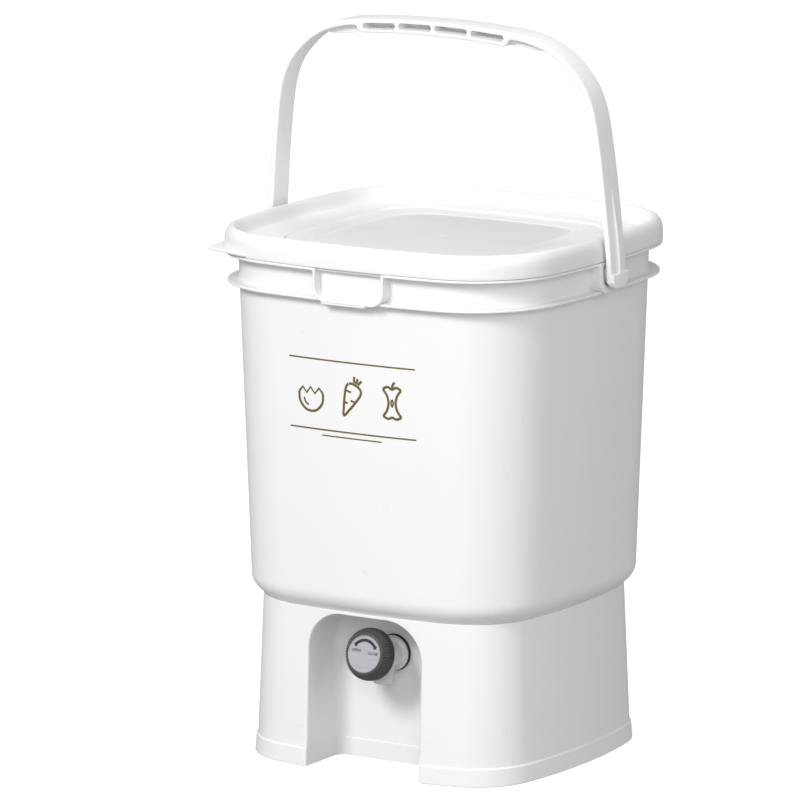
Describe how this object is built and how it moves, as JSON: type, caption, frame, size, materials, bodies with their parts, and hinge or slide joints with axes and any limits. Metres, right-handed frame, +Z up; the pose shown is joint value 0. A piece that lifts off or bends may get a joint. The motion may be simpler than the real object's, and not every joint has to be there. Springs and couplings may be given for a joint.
{
  "type": "bokashi bin",
  "caption": "Lidded composting bucket with a carrying bail, an inner drain plate over a sump, and an open stand whose arched bay holds a drain tap.",
  "frame": {"origin": "on the floor at the middle of the stand's footprint, directly below the middle of the lid", "axes": "+Z up, +X to the right as seen by someone facing the tap, front (tap side) is -Y"},
  "size_m": [0.33, 0.304, 0.5966],
  "materials": {
    "white_shell": "satin moulded polypropylene",
    "milky_lid": "milky translucent polyethylene, satin",
    "tap_white": "smooth moulded plastic",
    "seal_rubber": "matt rubber",
    "knob_grey": "fine-ribbed moulded plastic",
    "face_silver": "satin silver disc with a dark printed turn arc",
    "screw_steel": "stainless"
  },
  "bodies": {
    "bin": {"bucket": "white_shell", "stand": "white_shell", "tap_body": "tap_white", "tap_gasket": "seal_rubber", "tap_washer": "seal_rubber", "tap_nut": "tap_white", "bonnet_nut": "tap_white"},
    "lid": {"lid": "milky_lid", "lid_seal": "seal_rubber"},
    "handle": {"handle": "white_shell", "pivot_pin_right": "white_shell", "pivot_pin_left": "white_shell"},
    "drain_plate": {"strainer_plate": "white_shell"},
    "tap_knob": {"knob": "knob_grey", "knob_face": "face_silver", "knob_screw": "screw_steel", "spindle": "tap_white", "spindle_seals": "seal_rubber"}
  },
  "joints": [
    {"name": "handle_swing", "type": "hinge", "parent": "bin", "child": "handle", "pos_m": [0, 0, 0.4045], "axis": [1, 0, 0], "range_deg": [-125, 120]},
    {"name": "lid_lift", "type": "slide", "parent": "bin", "child": "lid", "axis": [0, 0, 1], "range_m": [0, 0.016]},
    {"name": "plate_lift", "type": "slide", "parent": "bin", "child": "drain_plate", "axis": [0, 0, 1], "range_m": [0, 0.24]},
    {"name": "tap_turn", "type": "hinge", "parent": "bin", "child": "tap_knob", "pos_m": [0, -0.0885, 0.091], "axis": [0, -0.9781, 0.2079], "range_deg": [0, 90]}
  ]
}
